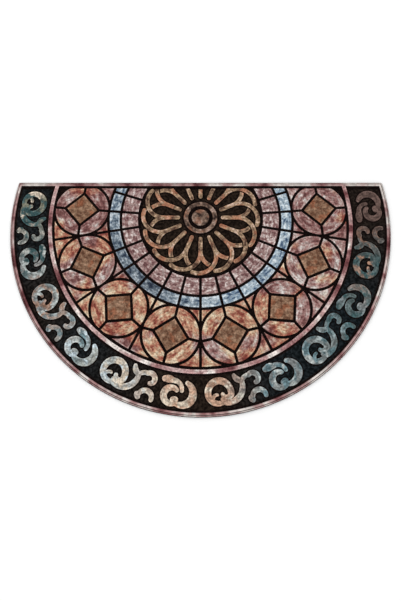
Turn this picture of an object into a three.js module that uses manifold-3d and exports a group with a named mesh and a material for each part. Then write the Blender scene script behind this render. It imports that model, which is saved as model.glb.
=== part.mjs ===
// A half-round entrance mat: one sheet pressed from rubber crumb, with its pattern standing proud of dark lines.
// Millimetres, +Z up. X runs along the straight edge, the round edge faces -Y, and the origin lies on the floor
// under the middle of the mat's box.
//
// The pattern is laid out in rings about one centre. An angle of 0 points along +X and 90 points to the middle of
// the round edge, so angles grow clockwise as the mat is seen from above.

import * as THREE from 'three';
import * as BufferGeometryUtils from 'three/addons/utils/BufferGeometryUtils.js';
import Module from 'manifold-3d';

const wasm = await Module();
wasm.setup();

// Outline and thickness
const MAT_WIDTH = 914.4;
const STRAIGHT_EDGE_BEHIND_CENTRE = 91.9;
const SHEET_THICKNESS = 4.6;
const RELIEF = 2.4;
const RIM_WIDTH = 9.6;
const CORNER_RADIUS = 4;

// Dark lines pressed between the tiles, given by the radius of their middle
const LINE_WIDTH = 6.4;
const ROSETTE_LINE = 147.7;
const TILE_LINE = 192.1;
const PANE_LINE = 222.0;
const CELL_LINE = 354.1;
const FIELD_BEHIND_CENTRE = 76.0;

// Hub and rosette
const HUB_DISC_RADIUS = 20.8;
const HUB_RING_INNER = 29.8;
const HUB_RING_OUTER = 40.2;
const RIB_COUNT = 16;
const RIB_WIDTH = 9.8;
const STEM_START = 54.0;
const LONG_ARM = { start: 88.3, radius: 41.1, turn: 134, side: 1 };
const SHORT_ARM = { start: 84.5, radius: 38.0, turn: 68, side: -1 };
const CROSSING_GAP = 2.4;

// Mosaic: a spoke line every pitch, and a round cell between every second pair of spokes
const SPOKE_PITCH = 13.46;
const SQUARE_HALF_DIAGONAL = 41.1;

// Plain ring and scroll border
const PLAIN_RING_INNER = 357.4;
const PLAIN_RING_OUTER = 366.3;
const BORDER_MIDDLE = 408.2;
const BORDER_REPEAT = 33.6;
const BORDER_START = -4.3;
const BORDER_REPEATS = 6;

// One repeat of the border. Each stroke is a piece of a spiral about (along, out), in millimetres from the middle
// of the repeat's first scroll: it turns from one angle to the other while its radius goes from start to finish,
// and its width goes from the first value through the middle one to the last.
const BORDER_STROKES = [
  { name: 'open scroll', along: -5, out: 1, from: 243, to: 64, start: 25, finish: 25, widths: [10, 18, 10] },
  { name: 'inner curl', along: 16, out: 7, from: 124, to: -130, start: 19, finish: 15, widths: [9, 15, 10] },
  { name: 'inner bud', along: 9, out: 25, from: -100, to: -72, start: 9, finish: 9, widths: [14, 14, 13] },
  { name: 'over-leaf', along: 13, out: -5, from: 178, to: 275, start: 18, finish: 19, widths: [9, 10, 12] },
  { name: 'leaf tip', along: 26, out: 20, from: 258, to: 284, start: 45, finish: 46, widths: [12, 17, 13] },
  { name: 'small hook', along: 70, out: -14, from: 105, to: 310, start: 8, finish: 15, widths: [10, 12, 11] },
  { name: 'hook link', along: 80, out: -2, from: 268, to: 318, start: 24, finish: 24, widths: [10, 10, 10] },
  { name: 'side leaf', along: 94, out: -37, from: 80, to: 15, start: 20, finish: 20, widths: [9, 13, 9] },
  { name: 'long limb', along: 133, out: -13, from: 190, to: 72, start: 35, finish: 36, widths: [10, 14, 10] },
  { name: 'volute', along: 153, out: 0, from: 118, to: -190, start: 22, finish: 27, widths: [10, 15, 14] },
  { name: 'volute end', along: 135, out: 2, from: 165, to: 10, start: 9, finish: 10, widths: [14, 12, 9] },
  { name: 'cusp', along: 143, out: 23, from: -95, to: -70, start: 9, finish: 9, widths: [11, 11, 10] },
  { name: 'volute leaf', along: 155, out: 13, from: 10, to: -80, start: 13, finish: 9, widths: [9, 8, 7] },
  { name: 'arch', along: 70, out: 24, from: 170, to: 350, start: 14, finish: 14, widths: [10, 12, 10] },
  { name: 'arch bud', along: 70, out: 24, from: -4, to: 14, start: 17, finish: 15, widths: [13, 14, 12] },
];

// What follows from the sizes above
const OUTER_RADIUS = MAT_WIDTH / 2;
const MAT_DEPTH = OUTER_RADIUS + STRAIGHT_EDGE_BEHIND_CENTRE;
const CENTRE_Y = OUTER_RADIUS - MAT_DEPTH / 2;
const TOP = SHEET_THICKNESS + RELIEF;
const HALF_LINE = LINE_WIDTH / 2;
const CELL_CENTRE_RADIUS = (PANE_LINE + CELL_LINE) / 2;
const CELL_RADIUS = CELL_CENTRE_RADIUS * Math.sin(THREE.MathUtils.degToRad(SPOKE_PITCH));

// How finely round stretches are stepped, in degrees
const OUTLINE_STEP = 3.9;
const PLAIN_RING_STEPS = 28;
const TILE_STEPS = 18;
const CELL_STEP = 15;
const ARM_STEP = 20;
const STROKE_STEP = 36;
const CAP_TURNS = [45, -45];
const CORNER_STEPS = 3;

// Relief starts this far inside the sheet, so that the two are one solid
const ROOT = 1;

function radians(degrees) {
  return THREE.MathUtils.degToRad(degrees);
}

// The point at a radius and an angle about the pattern's centre
function ringPoint(radius, angle) {
  const turn = radians(angle);
  return new THREE.Vector2(radius * Math.cos(turn), CENTRE_Y - radius * Math.sin(turn));
}

// The point at a distance along a spoke and a distance to its side of growing angle
function spokePoint(along, aside, angle) {
  const turn = radians(angle);
  return new THREE.Vector2(
    along * Math.cos(turn) - aside * Math.sin(turn),
    CENTRE_Y - along * Math.sin(turn) - aside * Math.cos(turn),
  );
}

function ringArc(radius, from, to, step) {
  const count = Math.max(1, Math.round(Math.abs(to - from) / step));
  return Array.from({ length: count + 1 }, (_, i) => ringPoint(radius, from + ((to - from) * i) / count));
}

function toSolid(geometry) {
  geometry.deleteAttribute('normal');
  geometry.deleteAttribute('uv');
  const merged = BufferGeometryUtils.mergeVertices(geometry, 1e-4);
  return new wasm.Manifold(
    new wasm.Mesh({
      numProp: 3,
      vertProperties: new Float32Array(merged.attributes.position.array),
      triVerts: new Uint32Array(merged.index.array),
    }),
  );
}

// An outline, with or without holes, raised from one height to another
function raised(outline, low = SHEET_THICKNESS - ROOT, high = TOP, holes = []) {
  const shape = new THREE.Shape(THREE.ShapeUtils.isClockWise(outline) ? outline.toReversed() : outline);
  shape.holes = holes.map((hole) => new THREE.Path(hole));
  const geometry = new THREE.ExtrudeGeometry(shape, { depth: high - low, steps: 1, bevelEnabled: false });
  geometry.translate(0, 0, low);
  return toSolid(geometry);
}

// A tool that cuts right through the relief
function cutter(outline, holes = []) {
  return raised(outline, -ROOT, TOP + ROOT, holes);
}

function join(solids) {
  return solids.reduce((whole, solid) => whole.add(solid));
}

function fullRing(inner, outer, step) {
  const outline = ringArc(outer, 0, 360 - step, step);
  const holes = inner > 0 ? [ringArc(inner, 0, 360 - step, step)] : [];
  return raised(outline, SHEET_THICKNESS - ROOT, TOP, holes);
}

// A stretch of ring that runs a number of steps to either side of the middle of the round edge
function ringStretch(inner, outer, step, steps) {
  const from = 90 - steps * step;
  const to = 90 + steps * step;
  return raised([...ringArc(outer, from, to, step), ...ringArc(inner, to, from, step)]);
}

// A band of even width along a spoke
function spokeLine(from, to, angle, width) {
  return cutter([
    spokePoint(from, -width / 2, angle),
    spokePoint(to, -width / 2, angle),
    spokePoint(to, width / 2, angle),
    spokePoint(from, width / 2, angle),
  ]);
}

// The outline round a path of points with a width at each, its two ends rounded off
function strokeOutline(points, widths) {
  const last = points.length - 1;
  const ahead = points.map((_, i) =>
    points[Math.min(i + 1, last)].clone().sub(points[Math.max(i - 1, 0)]).normalize(),
  );
  const side = (i, sign) =>
    new THREE.Vector2(-ahead[i].y, ahead[i].x).multiplyScalar((sign * widths[i]) / 2).add(points[i]);
  const cap = (i, sign) =>
    CAP_TURNS.map((angle) => {
      const turn = radians(angle);
      const outward = ahead[i].clone().multiplyScalar(sign * Math.cos(turn));
      const across = new THREE.Vector2(-ahead[i].y, ahead[i].x).multiplyScalar(sign * Math.sin(turn));
      return outward.add(across).multiplyScalar(widths[i] / 2).add(points[i]);
    });
  const left = points.map((_, i) => side(i, 1));
  const right = points.map((_, i) => side(i, -1)).reverse();
  return [...left, ...cap(last, 1), ...right, ...cap(0, -1)];
}

// The mat's outline, drawn in by an amount, with its two corners rounded where that leaves something to round
function matOutline(inset) {
  const rounding = Math.max(CORNER_RADIUS - inset, 0);
  const radius = OUTER_RADIUS - inset - rounding;
  const behind = STRAIGHT_EDGE_BEHIND_CENTRE - inset - rounding;
  const corner = THREE.MathUtils.radToDeg(Math.asin(behind / radius));
  const round = ringArc(radius + rounding, -corner, 180 + corner, OUTLINE_STEP);
  if (rounding === 0) {
    return round;
  }
  const turned = (end, from, to) =>
    Array.from({ length: CORNER_STEPS }, (_, i) => {
      const facing = radians(from + ((to - from) * (i + 1)) / CORNER_STEPS);
      return new THREE.Vector2(Math.cos(facing), -Math.sin(facing)).multiplyScalar(rounding).add(end);
    });
  return [
    ...round,
    ...turned(ringPoint(radius, 180 + corner), 180 + corner, 270),
    ...turned(ringPoint(radius, -corner), -corner, -90).reverse(),
  ];
}

// Everything in front of the line that ends the field along the straight edge
function fieldLimit(behind) {
  return cutter([
    new THREE.Vector2(-MAT_WIDTH, CENTRE_Y - MAT_WIDTH),
    new THREE.Vector2(MAT_WIDTH, CENTRE_Y - MAT_WIDTH),
    new THREE.Vector2(MAT_WIDTH, CENTRE_Y + behind),
    new THREE.Vector2(-MAT_WIDTH, CENTRE_Y + behind),
  ]);
}

function hub() {
  const step = 360 / 32;
  return join([fullRing(0, HUB_DISC_RADIUS, step), fullRing(HUB_RING_INNER, HUB_RING_OUTER, step)]);
}

// One arm of a rib: an arc that leaves the stem along the spoke and bends to one side
function armOutline(arm, angle, width) {
  const count = Math.round(arm.turn / ARM_STEP);
  const path = Array.from({ length: count + 1 }, (_, i) => {
    const turn = radians((arm.turn * i) / count);
    const aside = arm.side * arm.radius * (1 - Math.cos(turn));
    return spokePoint(arm.start + arm.radius * Math.sin(turn), aside, angle);
  });
  return strokeOutline(path, path.map(() => width));
}

function stem(angle) {
  const path = [spokePoint(STEM_START, 0, angle), spokePoint(LONG_ARM.start, 0, angle)];
  return raised(strokeOutline(path, [RIB_WIDTH, RIB_WIDTH]));
}

// Sixteen ribs. Each long arm runs over the next rib's short arm and ends under the next rib's long arm.
function rosette() {
  const pitch = 360 / RIB_COUNT;
  const cleared = RIB_WIDTH + 2 * CROSSING_GAP;
  const ribs = [];
  for (let i = 0; i < RIB_COUNT; i += 1) {
    const angle = 90 + i * pitch;
    const neighbourBefore = cutter(armOutline(LONG_ARM, angle - pitch, cleared));
    const neighbourAfter = cutter(armOutline(LONG_ARM, angle + pitch, cleared));
    ribs.push(stem(angle));
    ribs.push(raised(armOutline(SHORT_ARM, angle, RIB_WIDTH)).subtract(neighbourBefore));
    ribs.push(raised(armOutline(LONG_ARM, angle, RIB_WIDTH)).subtract(neighbourAfter));
  }
  return join(ribs);
}

function spokeAngles(every) {
  const furthest = Math.floor(120 / SPOKE_PITCH / every) * every;
  const angles = [];
  for (let i = -furthest; i <= furthest; i += every) {
    angles.push(90 + i * SPOKE_PITCH);
  }
  return angles;
}

// Two rings of four-sided tiles
function tileRings() {
  const step = SPOKE_PITCH / 2;
  const rings = join([
    ringStretch(ROSETTE_LINE + HALF_LINE, TILE_LINE - HALF_LINE, step, TILE_STEPS),
    ringStretch(TILE_LINE + HALF_LINE, PANE_LINE - HALF_LINE, step, TILE_STEPS),
  ]);
  return rings.subtract(
    join(spokeAngles(1).map((angle) => spokeLine(ROSETTE_LINE, PANE_LINE, angle, LINE_WIDTH))),
  );
}

// The point at a distance from a round cell's centre, turned from the direction that points out of the mat
function cellPoint(angle, radius, turn) {
  return new THREE.Vector2(radius, 0)
    .rotateAround(new THREE.Vector2(), radians(turn - angle))
    .add(ringPoint(CELL_CENTRE_RADIUS, angle));
}

// The dark lines of one round cell: its circle, its square, and a short line from each corner to the circle
function cellLines(angle) {
  const centre = ringPoint(CELL_CENTRE_RADIUS, angle);
  const turned = (radius, turn) => cellPoint(angle, radius, turn);
  const circle = (radius) =>
    Array.from({ length: 360 / CELL_STEP }, (_, i) => turned(radius, i * CELL_STEP));
  const square = (radius) => [0, 90, 180, 270].map((turn) => turned(radius, turn));
  const growth = HALF_LINE * Math.SQRT2;
  const lines = [
    cutter(circle(CELL_RADIUS + HALF_LINE), [circle(CELL_RADIUS - HALF_LINE)]),
    cutter(square(SQUARE_HALF_DIAGONAL + growth), [square(SQUARE_HALF_DIAGONAL - growth)]),
  ];
  for (const turn of [0, 90, 180, 270]) {
    const aside = turned(HALF_LINE, turn + 90).sub(centre);
    const near = turned(SQUARE_HALF_DIAGONAL, turn);
    const far = turned(CELL_RADIUS, turn);
    lines.push(
      cutter([
        near.clone().add(aside),
        near.clone().sub(aside),
        far.clone().sub(aside),
        far.clone().add(aside),
      ]),
    );
  }
  return join(lines);
}

// The outer corner between an end cell's circle and the field's edge, which stays as low and dark as the lines
function darkCorner(side) {
  const angle = 90 + side * 7 * SPOKE_PITCH;
  const beside = [20, 30, 40, 50, 60].map((turn) => cellPoint(angle, CELL_RADIUS, -side * turn));
  return cutter([...beside, cellPoint(angle, 1.5 * CELL_RADIUS, -side * 38)]);
}

// The ring of round cells, each with a square and four petals, and the four-part corners between them. The inner
// corners at the ends of the straight edge have no spoke: they run up to the field's edge.
function cells() {
  const ring = ringStretch(PANE_LINE + HALF_LINE, CELL_LINE - HALF_LINE, SPOKE_PITCH / 2, TILE_STEPS);
  const centres = [-7, -5, -3, -1, 1, 3, 5, 7].map((i) => 90 + i * SPOKE_PITCH);
  const spokes = spokeAngles(2)
    .slice(1, -1)
    .map((angle) => spokeLine(PANE_LINE, CELL_LINE, angle, LINE_WIDTH));
  return ring.subtract(join([...centres.map(cellLines), ...spokes, darkCorner(-1), darkCorner(1)]));
}

// A point of the border's plan, laid round the mat
function borderPoint(along, out, middle) {
  return ringPoint(BORDER_MIDDLE + out, middle + THREE.MathUtils.radToDeg(along / BORDER_MIDDLE));
}

function borderStroke(stroke, middle) {
  const count = Math.max(1, Math.round(Math.abs(stroke.to - stroke.from) / STROKE_STEP));
  const points = [];
  const widths = [];
  for (let i = 0; i <= count; i += 1) {
    const share = i / count;
    const turn = radians(stroke.from + (stroke.to - stroke.from) * share);
    const radius = stroke.start + (stroke.finish - stroke.start) * share;
    points.push(
      borderPoint(stroke.along + radius * Math.cos(turn), stroke.out + radius * Math.sin(turn), middle),
    );
    const [first, mid, last] = stroke.widths;
    const straight = first + (last - first) * share;
    widths.push(straight + (mid - (first + last) / 2) * Math.sin(Math.PI * share));
  }
  return raised(strokeOutline(points, widths));
}

function scrollBorder() {
  const strokes = [];
  for (let i = 0; i < BORDER_REPEATS; i += 1) {
    const middle = BORDER_START + i * BORDER_REPEAT;
    strokes.push(...BORDER_STROKES.map((stroke) => borderStroke(stroke, middle)));
  }
  return join(strokes);
}

function plainRing() {
  return ringStretch(PLAIN_RING_INNER, PLAIN_RING_OUTER, OUTLINE_STEP, PLAIN_RING_STEPS);
}

function rim() {
  return raised(matOutline(0), SHEET_THICKNESS - ROOT, TOP, [matOutline(RIM_WIDTH)]);
}

const sheet = raised(matOutline(0), 0, SHEET_THICKNESS);
const field = join([hub(), rosette(), tileRings(), cells(), scrollBorder()])
  .intersect(fieldLimit(FIELD_BEHIND_CENTRE));
const plainRingToRim = plainRing().intersect(fieldLimit(STRAIGHT_EDGE_BEHIND_CENTRE - RIM_WIDTH / 2));
const pressed = join([sheet, field, plainRingToRim, rim()]);

const printedRubber = new THREE.MeshStandardMaterial({ color: 0x7d685c, roughness: 0.95, metalness: 0 });

function toMesh(name, solid, material) {
  const { vertProperties, triVerts } = solid.getMesh();
  const geometry = new THREE.BufferGeometry();
  geometry.setAttribute('position', new THREE.BufferAttribute(vertProperties, 3));
  geometry.setIndex(new THREE.BufferAttribute(triVerts, 1));
  const mesh = new THREE.Mesh(geometry, material);
  mesh.name = name;
  return mesh;
}

const group = new THREE.Group();
group.add(toMesh('mat', pressed, printedRubber));

export default group;
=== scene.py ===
# %% [markdown]
# # A half-round entrance mat
# This mat is pressed in one go from rubber crumb under a flocked, printed face. The pattern stands proud of
# dark lines. The solid model gives the mat's place and size, in metres: X runs along the straight edge, the
# round edge faces -Y, and Z is up. The lesson lays the looks over it: one closed sheet with its rim, then
# the raised pieces, joined into one mesh for each printed finish.

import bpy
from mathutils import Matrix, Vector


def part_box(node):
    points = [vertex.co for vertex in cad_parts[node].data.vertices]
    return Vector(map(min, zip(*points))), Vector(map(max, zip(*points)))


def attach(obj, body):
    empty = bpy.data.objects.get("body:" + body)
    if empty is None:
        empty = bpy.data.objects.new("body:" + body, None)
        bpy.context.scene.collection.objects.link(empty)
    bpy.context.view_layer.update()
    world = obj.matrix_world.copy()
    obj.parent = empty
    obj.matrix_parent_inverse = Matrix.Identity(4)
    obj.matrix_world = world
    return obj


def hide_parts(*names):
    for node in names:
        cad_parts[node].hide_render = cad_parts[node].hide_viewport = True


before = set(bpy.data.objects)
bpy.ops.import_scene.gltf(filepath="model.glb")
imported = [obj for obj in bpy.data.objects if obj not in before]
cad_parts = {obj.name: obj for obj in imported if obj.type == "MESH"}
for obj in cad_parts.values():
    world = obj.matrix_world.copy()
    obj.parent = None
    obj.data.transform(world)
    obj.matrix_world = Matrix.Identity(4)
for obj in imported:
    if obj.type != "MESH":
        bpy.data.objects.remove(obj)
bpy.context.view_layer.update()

# %% What the lesson works with
import itertools
import math

import bpy
import numpy as np

MM = 0.001
low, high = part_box("mat")
OUTER_RADIUS = (high.x - low.x) / 2
CENTRE_Y = low.y + OUTER_RADIUS
BEHIND = high.y - CENTRE_Y
TOP = high.z
print(f"mat {(high.x - low.x) / MM:.1f} by {(high.y - low.y) / MM:.1f} by {TOP / MM:.1f} mm")

# %% [markdown]
# ## Sizes of the pattern
# The pattern is laid out in rings about one centre, so a radius and an angle place everything. These are
# the solid model's own sizes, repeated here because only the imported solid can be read.

# %% Pattern sizes
SHEET = 4.6 * MM
RELIEF = TOP - SHEET
RIM_WIDTH = 9.6 * MM
HALF_LINE = 3.2 * MM
ROSETTE_LINE = 147.7 * MM
TILE_LINE = 192.1 * MM
PANE_LINE = 222.0 * MM
CELL_LINE = 354.1 * MM
FIELD_BEHIND = 76.0 * MM
HUB_DISC_RADIUS = 20.8 * MM
HUB_RING = (29.8 * MM, 40.2 * MM)
RIB_COUNT = 16
RIB_WIDTH = 9.8 * MM
STEM_START = 54.0 * MM
LONG_ARM = {"start": 88.3 * MM, "radius": 41.1 * MM, "turn": 134, "side": 1}
SHORT_ARM = {"start": 84.5 * MM, "radius": 38.0 * MM, "turn": 68, "side": -1}
CROSSING_GAP = 2.4 * MM
SPOKE_PITCH = 13.46
SQUARE_HALF_DIAGONAL = 41.1 * MM
PLAIN_RING = (357.4 * MM, 366.3 * MM)
BORDER_MIDDLE = 408.2 * MM
BORDER_REPEAT = 33.6
BORDER_START = -4.3
BORDER_REPEATS = 6
CELL_CENTRE = (PANE_LINE + CELL_LINE) / 2
CELL_RADIUS = CELL_CENTRE * math.sin(math.radians(SPOKE_PITCH))
LIMIT_Y = CENTRE_Y + FIELD_BEHIND


# %% [markdown]
# ## Places on the rings
# Angle 0 points along +X and 90 to the middle of the round edge, so angles grow clockwise as seen from
# above. Helpers take whole arrays.

# %% Ring helpers
def ring_point(radius, angle):
    """Plan point: x is radius times the cosine, y is the centre less radius times the sine."""
    turn = np.radians(angle)
    return np.stack([radius * np.cos(turn), CENTRE_Y - radius * np.sin(turn)], axis=-1)


def spoke_point(along, aside, angle):
    """Plan point at a distance along a spoke and a distance to its side of growing angle."""
    turn = np.radians(angle)
    x = along * np.cos(turn) - aside * np.sin(turn)
    y = CENTRE_Y - along * np.sin(turn) - aside * np.cos(turn)
    return np.stack([x, y], axis=-1)


def packed_ends(count):
    """Shares from 0 to 1, half of one less the cosine of an even sweep, with short steps at both ends."""
    return (1 - np.cos(np.linspace(0, np.pi, count))) / 2


# %% [markdown]
# ## The height of a pressed piece
# A press leaves no sharp corners: a wall leans a little, its shoulder is round, and the top is nearly
# level. One formula gives that to every piece: the height grows with the distance from its outline and soon
# levels off. Because the distance is to the nearest edge, corners and narrow tips come out rounded.

# %% Height from the distance to the edge
SHOULDER = 0.8 * MM
EDGE_SHARE = 0.55
FOOT_OUT = 0.6 * MM
FOOT_UNDER = 0.3 * MM
# Heights of the thin dark margin round a piece's foot: painted shade on the floor beside it.
SHADE_SKIRT_HEIGHTS = (0.08 * MM, 0.03 * MM)
WAVE_HEIGHT = 0.05 * MM
WAVES = [(91, 37, 0.0), (-53, 113, 1.3), (205, 167, 0.4)]
TINY = 1e-9


def uneven(x, y):
    """A slight unevenness of the pressed top: the mean of three waves, each the sine of one number times x
    plus another times y plus a start."""
    waves = sum(np.sin(with_x * x + with_y * y + start) for with_x, with_y, start in WAVES)
    return WAVE_HEIGHT * waves / len(WAVES)


def raised_height(distance, x, y):
    """Floor plus the relief times one less EDGE_SHARE times e to the minus distance over SHOULDER."""
    return SHEET + RELIEF * (1 - EDGE_SHARE * np.exp(-distance / SHOULDER)) + uneven(x, y) - WAVE_HEIGHT


def distance_to_loop(points, loop):
    """The least distance from each point to the segments of a closed line."""
    start, step = loop, np.roll(loop, -1, axis=0) - loop
    square = np.maximum((step**2).sum(axis=1), TINY**2)
    away = points[:, None, :] - start[None]
    share = np.clip((away * step).sum(axis=2) / square, 0, 1)
    return np.sqrt(((away - share[..., None] * step) ** 2).sum(axis=2)).min(axis=1)


# %% [markdown]
# ## One raised piece
# Every tile, petal, rib and scroll has four sides once its rounded ends are cut a hair short. So one
# function makes them all: straight rulings join two opposite edges, the heights come from the formula
# above, a foot runs out and just under the sheet's floor, and one face closes the piece below. A subdivided
# and bevelled polygon could do it too, but its rows wouldn't follow the piece. The rows also give each
# point's lie, which is its distance along the piece and across it, because the print's fine streaks run
# along each piece.

# %% Raised pieces as ruled patches
LIE_STEP = 0.37


def faces_between(loops):
    """Four-sided faces from each closed loop of point numbers to the next."""
    ahead = np.roll(loops, -1, axis=1)
    return np.stack([loops[:-1], loops[1:], ahead[1:], ahead[:-1]], axis=-1).reshape(-1, 4)


class Pieces:
    """Gathers patches as arrays for one mesh. It takes what patch needs for each of them."""

    def __init__(self, patches=()):
        self.points, self.faces, self.edges, self.lies, self.count = [], [], [], [], 0
        for patch in patches:
            self.patch(*patch)

    def add(self, points, faces, edge, lie):
        """Takes points, faces, and each point's distance from the edge and its lie. Each lie starts some
        way from the last one's, so no two pieces have the same streaks."""
        self.points.append(points)
        self.edges.append(edge)
        self.lies.append(lie + len(self.lies) * LIE_STEP)
        self.faces.extend([[corner + self.count for corner in face] for face in faces])
        self.count += len(points)

    def patch(self, side_a, side_b, rows, lift=0.0, shade_skirt=0.0):
        """Its points are edge a plus a share of the way to edge b, the shares packed at both ends. The
        outline is the grid's border, and the foot lies outside it along its normal. With a margin given, a
        thin flat margin of bare rubber runs round the foot, dark on the printed ground: painted shade where
        the piece meets the floor."""
        columns = len(side_a)
        share = packed_ends(rows)[:, None, None]
        plan = side_a + share * (side_b - side_a)
        index = np.arange(rows * columns).reshape(rows, columns)
        border = np.concatenate([index[0], index[1:, -1], index[-1, -2::-1], index[-2:0:-1, 0]])
        flat = plan.reshape(-1, 2)
        loop = flat[border]
        following = np.roll(loop, -1, axis=0)
        turns_left = (loop[:, 0] * following[:, 1] - loop[:, 1] * following[:, 0]).sum() > 0
        along = following - np.roll(loop, 1, axis=0)
        along /= np.maximum(np.linalg.norm(along, axis=1, keepdims=True), TINY)
        outward = np.stack([along[:, 1], -along[:, 0]], axis=1) * (1 if turns_left else -1)
        edge = distance_to_loop(flat, loop)
        top = raised_height(edge, *flat.T) + lift
        feet = [(FOOT_OUT, SHEET - FOOT_UNDER)]
        # Painted shade: a thin flat margin of bare rubber round the foot darkens the floor beside the piece.
        if shade_skirt:
            feet = [(FOOT_OUT, SHEET + SHADE_SKIRT_HEIGHTS[0]), (shade_skirt, SHEET + SHADE_SKIRT_HEIGHTS[1])]
            feet.append((shade_skirt + FOOT_OUT, SHEET - FOOT_UNDER))
        rings = [np.column_stack([loop + out * outward, np.full(len(loop), level)]) for out, level in feet]
        below = len(flat) + np.arange(len(feet) * len(border)).reshape(len(feet), len(border))
        quads = np.stack([index[:-1, :-1], index[:-1, 1:], index[1:, 1:], index[1:, :-1]], axis=-1)
        walls = faces_between(np.concatenate([border[None], below]))
        faces = [*quads.reshape(-1, 4).tolist(), *walls.tolist(), below[-1][::-1].tolist()]
        if not turns_left:
            faces = [face[::-1] for face in faces]
        points = np.concatenate([np.column_stack([flat, top]), *rings])
        spine = plan[rows // 2]
        run = np.cumsum(np.linalg.norm(np.diff(spine, axis=0, prepend=spine[:1]), axis=1))
        across = share[:, :, 0] * np.linalg.norm(side_b - side_a, axis=1).mean()
        lie = np.stack(np.broadcast_arrays(run[None], across), axis=-1).reshape(-1, 2)
        lie = np.concatenate([lie] + [lie[border]] * len(feet))
        self.add(points, faces, np.concatenate([edge, np.zeros(below.size)]), lie)


def put_in_scene(name, data):
    """A new object for a mesh, a light or a camera."""
    made = bpy.data.objects.new(name, data)
    bpy.context.scene.collection.objects.link(made)
    return made


def make_piece(name, pieces, finish):
    """Puts the gathered arrays into one smooth mesh, with the distances and places as attributes."""
    points = np.concatenate(pieces.points)
    mesh = bpy.data.meshes.new(name)
    mesh.from_pydata(points, [], pieces.faces)
    mesh.shade_smooth()
    distances = np.concatenate(pieces.edges).astype(np.float32)
    mesh.attributes.new("edge", "FLOAT", "POINT").data.foreach_set("value", distances)
    lies = np.column_stack([np.concatenate(pieces.lies), np.zeros(len(points))]).astype(np.float32)
    mesh.attributes.new("lie", "FLOAT_VECTOR", "POINT").data.foreach_set("vector", lies.ravel())
    mesh.materials.append(finish)
    piece = put_in_scene(name, mesh)
    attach(piece, "root")
    print(f"{name}: {len(points)} points, {sum(len(face) - 2 for face in pieces.faces)} triangles")
    return piece


# %% [markdown]
# ## Building a finish
# The face is flock with a printed colour, and the walls and lines are bare crumb. A finish is a small tree
# of nodes. This class keeps the tree at hand, so that each step is one short call that gives back its
# output. Blotches read Object coordinates, in metres, and streaks each piece's own lie.

# %% Finish class
STUDIO_LIGHT = 1.1
ROUGHNESS = 0.95
SHINE = 0.04
TONE_RANGE = (0.37, 0.63)
BLOTCH = {"detail": 3, "rough": 0.5}
STREAK = {"detail": 4, "warp": 0.3, "rough": 0.6, "seed": 3}
MOTTLE = {"detail": 3, "warp": 0.4}
STREAK_SQUEEZE = 0.4
STREAK_SHARE = 0.72
CRUMB_SIZE = 1.2 * MM
CRUMB_DEPTH = 0.3 * MM


def paint(red_green_blue):
    """A colour as it should look in the picture, 0 to 255. It is made linear, ((c + 0.055) / 1.055) to the
    power 2.4, and divided by the light that falls on the mat."""
    share = np.array(red_green_blue) / 255
    linear = np.where(share <= 0.04045, share / 12.92, ((share + 0.055) / 1.055) ** 2.4)
    return (*(linear / STUDIO_LIGHT).tolist(), 1.0)


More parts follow.
